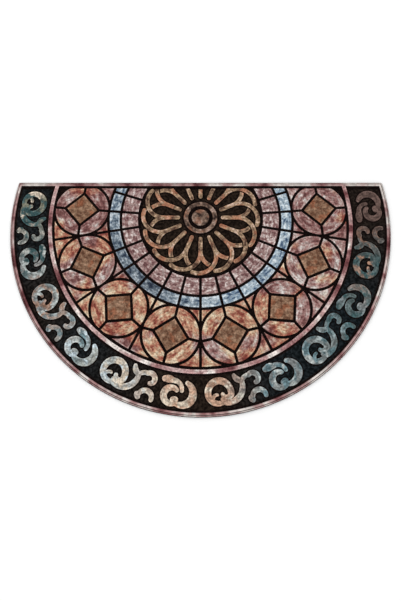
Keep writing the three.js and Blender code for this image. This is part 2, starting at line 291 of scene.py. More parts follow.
class Finish:
    """One material while it is being made."""

    def __init__(self, name):
        self.material = bpy.data.materials.new(name)
        self.material.use_nodes = True
        self.tree = self.material.node_tree
        self.shader = self.tree.nodes["Principled BSDF"]
        self.shader.inputs["Roughness"].default_value = ROUGHNESS
        self.shader.inputs["Specular IOR Level"].default_value = SHINE
        self.place = self.node("ShaderNodeTexCoord").outputs["Object"]
        self.axes = self.node("ShaderNodeSeparateXYZ", Vector=self.place).outputs
        lie = self.node("ShaderNodeAttribute", {"attribute_name": "lie"})
        stretch = self.node("ShaderNodeMapping", Vector=lie.outputs["Vector"], Scale=(STREAK_SQUEEZE, 1, 1))
        self.lie = stretch.outputs[0]

    def node(self, kind, settings=(), **inputs):
        """A node of that kind, with its settings, and its inputs set or linked."""
        made = self.tree.nodes.new(kind)
        for key, value in dict(settings).items():
            setattr(made, key, value)
        for key, value in inputs.items():
            self.feed(made.inputs[key.replace("_", " ")], value)
        return made

    def feed(self, socket, value):
        """Links an output to an input, or sets the input to a value."""
        if isinstance(value, bpy.types.NodeSocket):
            self.tree.links.new(value, socket)
        else:
            socket.default_value = value

    def noise(self, size, detail=2.0, warp=0.0, rough=0.55, seed=0.0, place=None):
        """Smooth noise whose blotches are about size metres across. A seed moves to another part of it."""
        moved = self.node("ShaderNodeVectorMath", {"operation": "ADD"})
        self.feed(moved.inputs[0], place or self.place)
        self.feed(moved.inputs[1], (seed, 2 * seed, 3 * seed))
        node = self.node("ShaderNodeTexNoise", Vector=moved.outputs[0], Scale=0.5 / size, Detail=detail)
        node.inputs["Roughness"].default_value = rough
        node.inputs["Distortion"].default_value = warp
        return node.outputs[0]

    def reckon(self, operation, first, second):
        """A sum, a product or the like of two values."""
        node = self.node("ShaderNodeMath", {"operation": operation})
        self.feed(node.inputs[0], first)
        self.feed(node.inputs[1], second)
        return node.outputs[0]

    def ramp(self, value, stops):
        """Colours along a value. Each stop is a place from 0 to 1 and a colour."""
        node = self.node("ShaderNodeValToRGB", Fac=value)
        elements = node.color_ramp.elements
        elements.remove(elements[1])
        elements[0].position, elements[0].color = stops[0][0], paint(stops[0][1])
        for place, colour in stops[1:]:
            elements.new(place).color = paint(colour)
        return node.outputs["Color"]

    def levels(self, value, stops):
        """A number along a value, by straight runs between stops."""
        node = self.node("ShaderNodeFloatCurve", Value=value)
        node.mapping.extend = "HORIZONTAL"
        curve = node.mapping.curves[0]
        while len(curve.points) < len(stops):
            curve.points.new(0.5, 0.5)
        for point, (place, level) in zip(curve.points, stops):
            point.location = (place, level)
            point.handle_type = "VECTOR"
        node.mapping.update()
        return node.outputs[0]

    def leaning(self, value, lean):
        """The value moved up or down: plus the lean, less a half."""
        return self.reckon("ADD", self.reckon("ADD", value, lean), -0.5)

    def mottled(self, size, tones, lean=0.5, streak=0.0, warp=0.3):
        """Blotches about size metres across, in tones from dark to light spread evenly over the noise's
        usual range. A lean over a half makes the print paler. With streaks, the value is STREAK_SHARE times
        the sum of both noises, moved back to a middle of a half."""
        value = self.noise(size, warp=warp, **BLOTCH)
        if streak:
            drawn = self.noise(streak, place=self.lie, **STREAK)
            both = self.reckon("MULTIPLY", self.reckon("ADD", value, drawn), STREAK_SHARE)
            value = self.reckon("SUBTRACT", both, STREAK_SHARE - 0.5)
        value = self.leaning(value, lean)
        places = np.linspace(*TONE_RANGE, len(tones)).tolist()
        return self.ramp(value, list(zip(places, tones)))

    def shaded(self, colour, size, least, most, seed=0.0, place=None):
        """The colour times a factor from least to most, by noise of its own."""
        noise = self.noise(size, seed=seed, place=place, **MOTTLE)
        return self.scaled(colour, self.between(noise, *TONE_RANGE, least, most))

    def scaled(self, colour, factor):
        """The colour times a factor."""
        node = self.node("ShaderNodeVectorMath", {"operation": "SCALE"}, Scale=factor)
        self.feed(node.inputs[0], colour)
        return node.outputs[0]

    def between(self, value, start, end, low=0.0, high=1.0, how="SMOOTHSTEP"):
        """The value's way from start to end, as a share from low to high, eased at both ends or linear."""
        node = self.node("ShaderNodeMapRange", {"interpolation_type": how}, Value=value)
        for key, number in (("From Min", start), ("From Max", end), ("To Min", low), ("To Max", high)):
            node.inputs[key].default_value = number
        return node.outputs[0]

    def mix(self, share, first, second):
        """The first colour, mixed with the second by a share."""
        node = self.node("ShaderNodeMix", {"data_type": "RGBA"})
        self.feed(node.inputs[0], share)
        self.feed(node.inputs[6], first)
        self.feed(node.inputs[7], second)
        return node.outputs[2]

    def crumb_bump(self):
        """Raises the crumb's grain, which shows through the flock too."""
        grain = self.noise(CRUMB_SIZE, detail=3, rough=0.7)
        node = self.node("ShaderNodeBump", Height=grain, Distance=CRUMB_DEPTH)
        self.feed(self.shader.inputs["Normal"], node.outputs[0])

    def finish(self, colour):
        """Colours the material and gives it back."""
        self.feed(self.shader.inputs["Base Color"], colour)
        return self.material


# %% [markdown]
# ## Bare rubber under every print
# The walls, the lines and the underside are the crumb itself: nearly black, a little warm, with a grain of
# about a millimetre. The print only reaches what the press left high, so every finish is mixed by height.

# %% Bare crumb and the print's reach
PRINT_FROM = SHEET + 0.7 * MM
PRINT_FULL = SHEET + 1.3 * MM
CRUMB_DARK = (10, 5, 5)
CRUMB_LIGHT = (30, 19, 17)
GRAIN_SIZE = 1.6 * MM
PALE_GRAINS = (0.42, 0.72)
# Painted highlight: within this distance of a piece's edge, where its top rounds down, the print is paler.
EDGE_HIGHLIGHT = (1.2 * MM, 3.8 * MM)
FLECK_SIZE = 2.2 * MM
FLECK = 0.28


def bare_crumb(finish):
    """The rubber's own colour: dark, with paler grains where fine noise is high."""
    grains = finish.between(finish.noise(GRAIN_SIZE, detail=1), *PALE_GRAINS)
    return finish.mix(grains, paint(CRUMB_DARK), paint(CRUMB_LIGHT))


def pressed_print(finish, colour, edge_highlight=1.2):
    """The printed colour on top, paler along the edge as a painted highlight, with a fine grain. Walls are
    bare.
    """
    edge = finish.node("ShaderNodeAttribute", {"attribute_name": "edge"}).outputs["Fac"]
    # Painted highlight along the edge of each piece.
    edge_lit = finish.scaled(colour, finish.between(edge, *EDGE_HIGHLIGHT, edge_highlight, 1))
    flecked = finish.shaded(edge_lit, FLECK_SIZE, 1 - FLECK, 1 + FLECK, seed=9)
    reach = finish.between(finish.axes["Z"], PRINT_FROM, PRINT_FULL)
    finish.crumb_bump()
    return finish.finish(finish.mix(reach, bare_crumb(finish), flecked))


# %% [markdown]
# ## The sheet and its rim
# The sheet is one closed surface. Its outline is a circle's arc and a straight edge, with rounded corners. A
# profile of heights is carried round that outline: up the outer wall, over the rim's bead and down to the
# floor. Inside the rim the rings close in on one point, above and below, so the surface has no seam.

# %% Outline at a distance in from the edge
CORNER_RADIUS = 4 * MM
LEAST_ROUND = 0.4 * MM
ROUND_STEPS = 520
CORNER_STEPS = 10
STRAIGHT_STEPS = 150


def outline(inset):
    """A core outline pushed out along its normal by a rounding, which is what the inset leaves of the
    corner's radius. The core lies inset plus rounding inside the mat's outline."""
    rounding = max(CORNER_RADIUS - inset, LEAST_ROUND)
    core_radius, core_behind = OUTER_RADIUS - inset - rounding, BEHIND - inset - rounding
    corner = math.degrees(math.asin(core_behind / core_radius))
    half_edge = core_radius * math.cos(math.radians(corner))
    round_angles = np.linspace(-corner, 180 + corner, ROUND_STEPS)
    straight_x = np.linspace(-half_edge, half_edge, STRAIGHT_STEPS)[1:-1]
    back_x = np.pad(straight_x, CORNER_STEPS, constant_values=(-half_edge, half_edge))
    back = np.column_stack([back_x, np.full(len(back_x), CENTRE_Y + core_behind)])
    facing = np.radians(np.concatenate([
        round_angles,
        np.linspace(180 + corner, 270, CORNER_STEPS + 1)[1:],
        np.full(len(straight_x), 270.0),
        np.linspace(270, 360 - corner, CORNER_STEPS + 1)[:-1],
    ]))
    outward = np.stack([np.cos(facing), -np.sin(facing)], axis=1)
    return np.concatenate([ring_point(core_radius, round_angles), back]) + rounding * outward


# %% The rim's profile
# Each pair is a distance in from the edge and a height, in millimetres: first the outer band, then the
# groove and the bead.
RIM_PROFILE = MM * np.array([
    (1.4, 0.0), (0.5, 0.25), (0.05, 1.0), (0.0, 2.2), (0.1, 3.6), (0.45, 4.7), (1.0, 5.5), (1.7, 6.0),
    (2.5, 6.25), (3.1, 6.15), (3.5, 5.7), (3.9, 5.35), (4.4, 5.35), (4.8, 5.8), (5.2, 6.4), (5.8, 6.8),
    (6.6, 6.98), (7.5, 6.9), (8.3, 6.6), (9.1, 6.05), (9.6, 5.5), (9.9, 4.95), (10.3, 4.6),
])
FLOOR_SHARES = (0.85, 0.6, 0.35, 0.12)
MIDDLE = np.array([0.0, CENTRE_Y - 160 * MM])


def sheet_pieces():
    """Rings of points go out under the mat from its middle, up over the rim, and in over the floor. The
    flat ones lie a share of the way out, and each end closes on one point."""
    rim = [(outline(inset), height) for inset, height in RIM_PROFILE]
    rings = [(MIDDLE + share * (rim[0][0] - MIDDLE), 0.0) for share in reversed(FLOOR_SHARES)]
    rings += rim
    rings += [(MIDDLE + share * (rim[-1][0] - MIDDLE), SHEET) for share in FLOOR_SHARES]
    count = len(rings[0][0])
    points = np.concatenate([np.column_stack([plan, np.full(count, height)]) for plan, height in rings])
    wave = uneven(*points[:, :2].T) - WAVE_HEIGHT
    points[:, 2] += np.where(points[:, 2] > PRINT_FROM, wave, 0)
    points = np.concatenate([points, [[*MIDDLE, 0.0], [*MIDDLE, SHEET]]])
    index = np.arange(len(rings) * count).reshape(len(rings), count)
    ahead = np.roll(index, -1, axis=1)
    under = np.stack([np.full(count, len(points) - 2), index[0], ahead[0]], axis=-1)
    over = np.stack([index[-1], np.full(count, len(points) - 1), ahead[-1]], axis=-1)
    pieces = Pieces()
    faces = faces_between(index).tolist() + under.tolist() + over.tolist()
    pieces.add(points, faces, np.full(len(points), RIM_WIDTH), points[:, :2])
    return pieces


# %% [markdown]
# ## The sheet's finish
# Three things share the sheet. The rim is printed in patches of rose, pink, cream and maroon. The grounds
# of the rosette and the border are printed dark, brown in the one and now brown, now slate in the other.
# Everything else is bare. The rim is told by its height, and the grounds by their distance from the centre
# and the straight edge.

# %% Sheet finish
BROWN_GROUND = [(16, 10, 7), (31, 23, 18), (46, 36, 29)]
SLATE_GROUND = [(7, 12, 14), (18, 24, 27), (33, 40, 44)]
GROUND_SHARE = [
    (0.07, 0.1), (0.22, 1.0), (0.39, 0.9), (0.47, 0.0), (0.56, 0.1), (0.7, 0.9), (0.78, 0.1), (0.86, 0.8),
]
GROUND_BLOTCH = 3 * MM
ROSE_TONES = [(104, 62, 64), (148, 106, 106), (174, 140, 138), (190, 166, 162), (220, 210, 204)]
ROSE_LEAN = [
    (0.0, 0.54), (0.16, 0.53), (0.18, 0.5), (0.2, 0.52), (0.21, 0.64), (0.222, 0.56), (0.24, 0.48),
    (0.35, 0.51), (0.43, 0.555), (0.51, 0.5), (0.6, 0.6), (0.68, 0.43), (0.765, 0.605), (0.79, 0.575),
    (0.81, 0.54), (0.86, 0.495), (0.97, 0.5), (1.0, 0.54),
]
ROSE_PATCH = 24 * MM
ROSE_MOTTLE = 5 * MM
ROSE_SHADE = (0.82, 1.18)
# Within this margin of each ring and the rim, the ground stays bare and dark. This is their line and painted
# shade at the foot of their walls.
MARGIN = 4.5 * MM
EASE = 3.0 * MM
FLOOR_PRINT = (SHEET - 0.3 * MM, SHEET - 0.1 * MM)
# The rim's lower outer band is printed darker: painted shade.
OUTER_BAND = (SHEET + 1.65 * MM, SHEET + 1.95 * MM)
OUTER_BAND_SHADE = 0.82
FIELD_TURN = 105
WHOLE_TURN = 180


def way_round(finish, farthest=FIELD_TURN):
    """A share from the farthest turn on the right to the same on the left. A turn from the middle of the
    round edge is the arctangent of x over the distance in front of the centre."""
    in_front = finish.reckon("SUBTRACT", CENTRE_Y, finish.axes["Y"])
    turn = finish.reckon("ARCTAN2", finish.axes["X"], in_front)
    return finish.between(turn, math.radians(farthest), -math.radians(farthest), how="LINEAR")


def distance_from_centre(finish):
    """The plan distance from the pattern's centre: the length of the place with its height taken out."""
    moved = finish.node("ShaderNodeMapping", Vector=finish.place, Location=(0, -CENTRE_Y, 0), Scale=(1, 1, 0))
    length = finish.node("ShaderNodeVectorMath", {"operation": "LENGTH"}, Vector=moved.outputs[0])
    return length.outputs["Value"]


def within(finish, value, start, end):
    """1 between start and end and 0 outside: the product of two steps, each eased over EASE."""
    rising = finish.between(value, start - EASE / 2, start + EASE / 2)
    falling = finish.between(value, end - EASE / 2, end + EASE / 2, 1, 0)
    return finish.reckon("MULTIPLY", rising, falling)


def rose_print(finish):
    """Long patches of maroon, rose, pink and cream, with a finer mottle over them."""
    lean = finish.levels(way_round(finish, WHOLE_TURN), ROSE_LEAN)
    patches = finish.mottled(ROSE_PATCH, ROSE_TONES, lean)
    return finish.shaded(patches, ROSE_MOTTLE, *ROSE_SHADE, seed=2)


def sheet_finish():
    """Bare crumb, with the grounds printed where no line runs near, and the rim on its two bands. The bare
    band round each ring and the rim is their dark line and painted shade at the foot of their walls. The
    outer band lies lower and is darkened with painted shade."""
    finish = Finish("rim_and_ground")
    radius = distance_from_centre(finish)
    # Painted shade: the grounds stop short of the walls of the rings and the rim, which leaves dark bare
    # crumb at their foot.
    border_ground = within(finish, radius, PLAIN_RING[1] + MARGIN, OUTER_RADIUS - RIM_WIDTH - MARGIN)
    rosette_ground = within(finish, radius, HUB_RING[1] + MARGIN, ROSETTE_LINE - MARGIN)
    in_field = finish.between(finish.axes["Y"], LIMIT_Y - MARGIN, LIMIT_Y, 1, 0)
    grounds = finish.reckon("MULTIPLY", finish.reckon("ADD", border_ground, rosette_ground), in_field)
    printed_floor = finish.between(finish.axes["Z"], *FLOOR_PRINT)
    slate_share = finish.reckon("MULTIPLY", border_ground, finish.levels(way_round(finish), GROUND_SHARE))
    brown, slate = (finish.mottled(GROUND_BLOTCH, tones) for tones in (BROWN_GROUND, SLATE_GROUND))
    ground = finish.mix(slate_share, brown, slate)
    floor = finish.mix(finish.reckon("MULTIPLY", grounds, printed_floor), bare_crumb(finish), ground)
    # Painted shade: the rim's lower outer band is darkened.
    band_shade = finish.between(finish.axes["Z"], *OUTER_BAND, OUTER_BAND_SHADE, 1)
    band_shaded = finish.scaled(rose_print(finish), band_shade)
    rim = finish.between(finish.axes["Z"], PRINT_FROM, PRINT_FULL)
    finish.crumb_bump()
    return finish.finish(finish.mix(rim, floor, band_shaded))


sheet = make_piece("pressed_sheet", sheet_pieces(), sheet_finish())
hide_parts("mat")

# %% [markdown]
# ## The hub
# A button and a ring stand at the centre. Both are turned: a profile by the same height formula goes once
# round, so the button comes out as a low dome.

# %% Hub
HUB_STEPS = 96
HUB_PROFILE = 18


def turned_ring(pieces, inner, outer):
    """Radii from inner to outer, each with the height for its distance to the nearer edge, turned about the
    centre. A disc has an inner radius of nothing and closes on its middle point."""
    shares = packed_ends(HUB_PROFILE)
    radii = inner + (outer - inner) * shares if inner else outer * np.sin(shares * np.pi / 2)[1:]
    edge = np.minimum(radii - inner, outer - radii) if inner else outer - radii
    feet = [outer + FOOT_OUT, inner - FOOT_OUT] if inner else [outer + FOOT_OUT]
    distance = np.repeat(np.append(edge, [0] * len(feet)), HUB_STEPS)
    angles = np.arange(HUB_STEPS) * 360 / HUB_STEPS
    plan = ring_point(np.append(radii, feet)[:, None], angles).reshape(-1, 2)
    heights = raised_height(distance, *plan.T)
    heights[len(edge) * HUB_STEPS:] = SHEET - FOOT_UNDER
    points = np.column_stack([plan, heights])
    index = np.arange(len(points)).reshape(-1, HUB_STEPS)
    loops = np.concatenate([index, index[:1]]) if inner else index
    faces = faces_between(loops)[:, ::-1].tolist()
    if not inner:
        faces += np.stack([np.roll(index[0], -1), index[0], np.full(HUB_STEPS, len(points))], axis=1).tolist()
        faces.append(index[-1].tolist())
        points = np.concatenate([points, [[0, CENTRE_Y, raised_height(outer, 0, CENTRE_Y)]]])
        distance = np.append(distance, outer)
    pieces.add(points, faces, distance, points[:, :2])


TINT_PATCHES = (0.5, 0.62, 0.0, 0.6)


def tan_print(name, tones, size, tint, streak=0.0):
    """A brown print in its own tones, by noise of its own size, with patches of a tint."""
    finish = Finish(name)
    tinted = finish.between(finish.noise(2 * size, seed=6), *TINT_PATCHES)
    return pressed_print(finish, finish.mix(tinted, finish.mottled(size, tones, streak=streak), paint(tint)))


HUB_TONES = [(46, 35, 31), (78, 62, 55), (101, 82, 71), (125, 102, 88), (164, 140, 128)]
HUB_TINT = (140, 96, 76)
hub_pieces = Pieces()
turned_ring(hub_pieces, 0, HUB_DISC_RADIUS)
turned_ring(hub_pieces, *HUB_RING)
hub = make_piece("hub", hub_pieces, tan_print("hub_print", HUB_TONES, size=7 * MM, tint=HUB_TINT))

# %% [markdown]
# ## Staying inside the field
# The field is cut off along one line in front of the straight rim. A piece that reaches past the line is
# held back to it, and one that lies wholly past it is left out.

# %% The field's edge
HELD = 0.25 * MM
LEAST_COLUMNS = 3
# Width of the dark margin of bare rubber round each piece in the field: painted shade at its foot.
SHADE_SKIRT = 2.8 * MM


def hold_back(side):
    """Points past the field's edge are moved straight forward onto it."""
    return np.minimum(side, [np.inf, LIMIT_Y])


def field_patches(side_a, side_b, rows, lift=0.0):
    """The runs of a patch's columns where an edge is inside the field, each with a thin dark margin round its
    foot that keeps the ground's print off it: painted shade where the piece meets the floor."""
    inside = np.minimum(side_a[:, 1], side_b[:, 1]) < LIMIT_Y - HELD
    marks = np.flatnonzero(np.diff(np.concatenate([[0], inside.astype(int), [0]])))
    for first, last in marks.reshape(-1, 2):
        if last - first >= LEAST_COLUMNS:
            yield hold_back(side_a[first:last]), hold_back(side_b[first:last]), rows, lift, SHADE_SKIRT


# %% [markdown]
# ## Strokes with round ends
# Ribs and scrolls are strokes: a middle line with a width at each point. A round end is the same stroke run
# on straight ahead while its width closes as a half circle does.

# %% Strokes
END_TURNS = np.radians([15, 30, 45, 60, 75])


def stroke_edges(path, widths, round_ends=True):
    """Edges half a width to either side of the path, along its normal. At a round end the path goes on by
    half a width times the sine of a turn, and the width shrinks with its cosine."""
    ahead = np.gradient(path, axis=0)
    ahead /= np.linalg.norm(ahead, axis=1, keepdims=True)

    def end_cap(at, sign):
        reach = sign * np.sin(END_TURNS)[:, None] * ahead[at] * widths[at] / 2
        return path[at] + reach, np.cos(END_TURNS) * widths[at], np.tile(ahead[at], (len(END_TURNS), 1))

    spans = [(path, widths, ahead)]
    if round_ends:
        spans = [[part[::-1] for part in end_cap(0, -1)], *spans, end_cap(-1, 1)]
    middle, width, forward = (np.concatenate(parts) for parts in zip(*spans))
    aside = np.stack([-forward[:, 1], forward[:, 0]], axis=1) * width[:, None] / 2
    return middle + aside, middle - aside


# %% [markdown]
# ## The rosette
# Sixteen ribs leave the hub. Each has a stem that bends into a long arm, and a short arm to the other side,
# which stops just short of the long arm of the rib before it. Its end follows that arm's edge, so each of
# its own edges is cut where it comes within the clearance.

# %% Rosette
ARM_STEPS = 30
STEM_STEPS = 8
RIB_ROWS = 13
FINE_STEPS = 400
SHORT_ARM_DROP = 0.05 * MM


def arm_path(arm, angle, steps):
    """An arc off the spoke: along goes with the sine of the turn, and aside with one less its cosine."""
    turn = np.radians(np.linspace(0, arm["turn"], steps))
    along = arm["start"] + arm["radius"] * np.sin(turn)
    return spoke_point(along, arm["side"] * arm["radius"] * (1 - np.cos(turn)), angle)


def cut_at_neighbour(side, neighbour, clearance):
    """The edge up to where it comes within clearance of the neighbour's middle line, stepped afresh."""
    near = np.linalg.norm(side[:, None] - neighbour, axis=2).min(axis=1) < clearance
    last = int(np.argmax(near)) if near.any() else len(side) - 1
    steps = np.linspace(0, last, ARM_STEPS)
    return np.stack([np.interp(steps, np.arange(len(side)), values) for values in side.T], axis=1)


def rosette_patches():
    pitch = 360 / RIB_COUNT
    clearance = RIB_WIDTH / 2 + CROSSING_GAP
    for angle in 90 + pitch * np.arange(RIB_COUNT):
        stem = spoke_point(np.linspace(STEM_START, LONG_ARM["start"], STEM_STEPS)[:-1], 0, angle)
        long_path = np.concatenate([stem, arm_path(LONG_ARM, angle, ARM_STEPS)])
        yield from field_patches(*stroke_edges(long_path, np.full(len(long_path), RIB_WIDTH)), RIB_ROWS)
        short_path = arm_path(SHORT_ARM, angle, FINE_STEPS)
        edges = stroke_edges(short_path, np.full(FINE_STEPS, RIB_WIDTH), round_ends=False)
        neighbour = arm_path(LONG_ARM, angle - pitch, FINE_STEPS)
        cut = [cut_at_neighbour(edge, neighbour, clearance) for edge in edges]
        yield from field_patches(*cut, RIB_ROWS, -SHORT_ARM_DROP)


RIB_TONES = [(78, 58, 48), (116, 92, 76), (140, 116, 94), (160, 134, 106), (196, 168, 150)]
RIB_TINT = (172, 112, 86)
rib_finish = tan_print("rib_print", RIB_TONES, size=7 * MM, tint=RIB_TINT, streak=2.5 * MM)
rosette = make_piece("rosette", Pieces(rosette_patches()), rib_finish)

# %% [markdown]
# ## Two rings of tiles
# The spokes cut each ring into four-sided tiles, one dark line's width apart. A tile is a patch between its
# inner and its outer arc, and its short sides lie half a line beside the spokes.

# %% Tiles
TILE_COLUMNS = 25
TILE_ROWS = 19
LAST_SPOKE = 9


def beside_spoke(radius, number, side):
    """The angle of the place at a radius that lies half a line to one side of a numbered spoke."""
    return 90 + number * SPOKE_PITCH + side * np.degrees(np.arcsin(HALF_LINE / radius))


def angle_behind(distance, radius):
    """How far past +X or -X a ring meets a line that lies a distance behind the centre, as an angle."""
    return math.degrees(math.asin(distance / radius))


def tile_arc(radius, number, shares):
    """The arc at a radius from one spoke to the next, held inside the field at both ends of the mat."""
    past = angle_behind(FIELD_BEHIND, radius)
    low_angle = max(beside_spoke(radius, number, 1), -past)
    high_angle = min(beside_spoke(radius, number + 1, -1), 180 + past)
    return ring_point(radius, low_angle + (high_angle - low_angle) * shares)


def tile_patches(inner, outer):
    shares = packed_ends(TILE_COLUMNS)
    for number in range(-LAST_SPOKE, LAST_SPOKE):
        yield tile_arc(inner, number, shares), tile_arc(outer, number, shares), TILE_ROWS


PINK_TONES = [
    (104, 72, 72), (130, 97, 96), (144, 116, 113), (156, 131, 127), (176, 154, 150), (208, 195, 191),
]
SKY_TONES = [(66, 84, 110), (120, 140, 158), (149, 165, 177), (173, 187, 196), (207, 216, 221)]
SLATE_TONES = [(44, 52, 66), (76, 86, 97), (102, 112, 122), (131, 141, 149), (174, 181, 188)]
BLUE_LEAN = [(0.07, 0.52), (0.21, 0.48), (0.36, 0.49), (0.52, 0.545), (0.67, 0.48), (0.81, 0.5), (0.97, 0.52)]
SLATE_SHARE = [(0.4, 0.0), (0.66, 1.0), (0.82, 0.85), (1.0, 0.45)]
PINK_PATTERN = {"size": 5 * MM, "streak": 2.4 * MM, "warp": 0.5}
BLUE_PATTERN = {"size": 6 * MM, "streak": 3 * MM, "warp": 0.5}


def pink_print():
    finish = Finish("pink_tile_print")
    return pressed_print(finish, finish.mottled(tones=PINK_TONES, **PINK_PATTERN))


def blue_print():
    """Pale sky blue on the right runs into slate on the left."""
    finish = Finish("blue_tile_print")
    way = way_round(finish)
    lean = finish.levels(way, BLUE_LEAN)
    sky, slate = (finish.mottled(tones=row, lean=lean, **BLUE_PATTERN) for row in (SKY_TONES, SLATE_TONES))
    return pressed_print(finish, finish.mix(finish.levels(way, SLATE_SHARE), sky, slate))


pink_ring = Pieces(tile_patches(ROSETTE_LINE + HALF_LINE, TILE_LINE - HALF_LINE))
blue_ring = Pieces(tile_patches(TILE_LINE + HALF_LINE, PANE_LINE - HALF_LINE))
pink_tiles = make_piece("pink_tiles", pink_ring, pink_print())
blue_tiles = make_piece("blue_tiles", blue_ring, blue_print())

# %% [markdown]
# ## The ring of round cells
# Eight round cells fill the widest ring. Each holds a square that stands on its corner, and four petals,
# which are patches between the square's sides and the circle. Outside the circles are corner pieces with
# two thin tips. They are patches between the circle and the two lines beyond it, a spoke's and a ring's.

# %% Cells
CELL_NUMBERS = range(-7, 8, 2)
CELL_ANGLES = [90 + number * SPOKE_PITCH for number in CELL_NUMBERS]
QUARTERS = (0, 90, 180, 270)
LAST_CELL_SPOKE = 6
PETAL_COLUMNS = 33
PETAL_ROWS = 17
SQUARE_COUNT = 21
BAND = (PANE_LINE + HALF_LINE, CELL_LINE - HALF_LINE)
IN_CIRCLE = CELL_RADIUS - HALF_LINE
ROUND_CIRCLE = CELL_RADIUS + HALF_LINE
TIP_CUT = 0.04


def cell_place(centre_angle, distance, turn):
    """A place in a cell: a distance from its centre, turned from the direction out of the mat."""
    direction = np.radians(turn - centre_angle)
    offset = np.stack([np.cos(direction), np.sin(direction)], axis=-1) * np.asarray(distance)[..., None]
    return ring_point(CELL_CENTRE, centre_angle) + offset


def between_points(start, end, shares):
    """Places on the straight line between two points."""
    return start + shares[:, None] * (end - start)


def keep_in_band(points):
    """Points past either ring line are drawn straight back towards the pattern's centre, or out from it."""
    away = points - [0, CENTRE_Y]
    radius = np.linalg.norm(away, axis=1, keepdims=True)
    return [0, CENTRE_Y] + away * np.clip(radius, *BAND) / radius


def square_patches():
    reach = SQUARE_HALF_DIAGONAL - HALF_LINE * math.sqrt(2)
    shares = packed_ends(SQUARE_COUNT)
    for angle in CELL_ANGLES:
        corners = [cell_place(angle, reach, turn) for turn in QUARTERS]
        near = between_points(corners[0], corners[1], shares)
        far = between_points(corners[3], corners[2], shares)
        yield near, far, SQUARE_COUNT


def petal_patches():
    """The chord lies half a line outside the square. Its ends and the arc's lie half a line beside the
    cell's axes: a turn of the arcsine of half a line over the distance."""
    shares = packed_ends(PETAL_COLUMNS)
    chord_out = SQUARE_HALF_DIAGONAL / math.sqrt(2) + HALF_LINE
    chord_end = math.hypot(chord_out, chord_out - HALF_LINE * math.sqrt(2))
    chord_turn = math.degrees(math.asin(HALF_LINE / chord_end))
    arc_turn = math.degrees(math.asin(HALF_LINE / IN_CIRCLE))
    for angle, quarter in itertools.product(CELL_ANGLES, QUARTERS):
        ends = [cell_place(angle, chord_end, quarter + turn) for turn in (chord_turn, 90 - chord_turn)]
        chord = between_points(*ends, shares)
        turns = quarter + arc_turn + (90 - 2 * arc_turn) * shares
        arc = keep_in_band(cell_place(angle, np.full(len(shares), IN_CIRCLE), turns))
        yield hold_back(chord), hold_back(arc), PETAL_ROWS


def meets_circle(radius):
    """How far round from a cell's centre line a ring meets the outer circle, by the cosine rule."""
    cosine = (CELL_CENTRE**2 + radius**2 - ROUND_CIRCLE**2) / (2 * CELL_CENTRE * radius)
    return math.degrees(math.acos(cosine))


def pattern_angle(place):
    """The angle of a plan point about the pattern's centre, as ring_point takes it."""
    return math.degrees(math.atan2(CENTRE_Y - place[1], place[0]))


def shorter_way(start, end):
    """The turn in degrees from one direction to another, the shorter way round."""
    return (end - start + 180) % 360 - 180


def corner_patches():
    """The lines run from the tip beside the spoke to the corner, and on along the ring to the tip at the
    circle. Past the last spoke the field's edge takes its place, and the outer corner stays bare."""
    half = (PETAL_COLUMNS - 1) // 2
    rising, falling = np.linspace(TIP_CUT, 1, half + 1), np.linspace(0, 1 - TIP_CUT, half + 1)[1:]
    foot = CELL_CENTRE * math.cos(math.radians(SPOKE_PITCH))
    past_foot = math.sqrt(ROUND_CIRCLE**2 - IN_CIRCLE**2)
    for number, side, ring in itertools.product(CELL_NUMBERS, (-1, 1), BAND):
        centre_angle = 90 + number * SPOKE_PITCH
        centre = ring_point(CELL_CENTRE, centre_angle)
        spoke = centre_angle + side * SPOKE_PITCH
        run = past_foot if ring == BAND[1] else -past_foot
        tip = spoke_point(foot + run, -side * HALF_LINE, spoke)
        corner = spoke_point(math.sqrt(ring**2 - HALF_LINE**2), -side * HALF_LINE, spoke)
        if abs(number + side) > LAST_CELL_SPOKE:
            if ring == BAND[1]:
                continue
            outward = math.copysign(1, centre[0])
            reach = math.sqrt(ROUND_CIRCLE**2 - (LIMIT_Y - centre[1]) ** 2)
            tip = np.array([centre[0] - outward * reach, LIMIT_Y])
            corner = np.array([outward * math.sqrt(ring**2 - FIELD_BEHIND**2), LIMIT_Y])
        end = ring_point(ring, centre_angle + side * meets_circle(ring))
        corner_angle = pattern_angle(corner)
        on_ring = corner_angle + shorter_way(corner_angle, pattern_angle(end)) * falling
        lines = np.concatenate([between_points(tip, corner, rising), ring_point(ring, on_ring)])
        first, last = (math.degrees(math.atan2(*(place - centre)[::-1])) for place in (tip, end))
        shares = np.concatenate([rising / 2, 0.5 + falling / 2])
        around = np.radians(first + shorter_way(first, last) * shares)
        arc = centre + ROUND_CIRCLE * np.stack([np.cos(around), np.sin(around)], axis=1)
        yield arc, lines, PETAL_ROWS


SQUARE_TONES = [(98, 68, 52), (116, 86, 68), (127, 97, 78), (138, 108, 86), (158, 126, 104)]
WARM_TONES = [(124, 64, 55), (160, 102, 84), (178, 134, 110), (190, 157, 129), (207, 189, 163)]
MAUVE_TONES = [(104, 68, 66), (137, 98, 95), (158, 127, 122), (174, 152, 147), (203, 195, 190)]
PETAL_LEAN = [(0.06, 0.46), (0.18, 0.5), (0.31, 0.48), (0.56, 0.52), (0.69, 0.5), (0.82, 0.515), (0.95, 0.45)]
MAUVE_LEAN = [(0.05, 0.62), (0.18, 0.6), (0.3, 0.5), (0.5, 0.42), (0.8, 0.44), (0.95, 0.6)]
PETAL_PATTERN = {"size": 11 * MM, "streak": 3 * MM}
PETAL_MOTTLE = 2.5 * MM
PETAL_SHADE = (0.86, 1.14)
DRIFT_SIZE = 40 * MM
DRIFT_STEP = (0.44, 0.56)
SQUARE_TINT = (146, 88, 62)


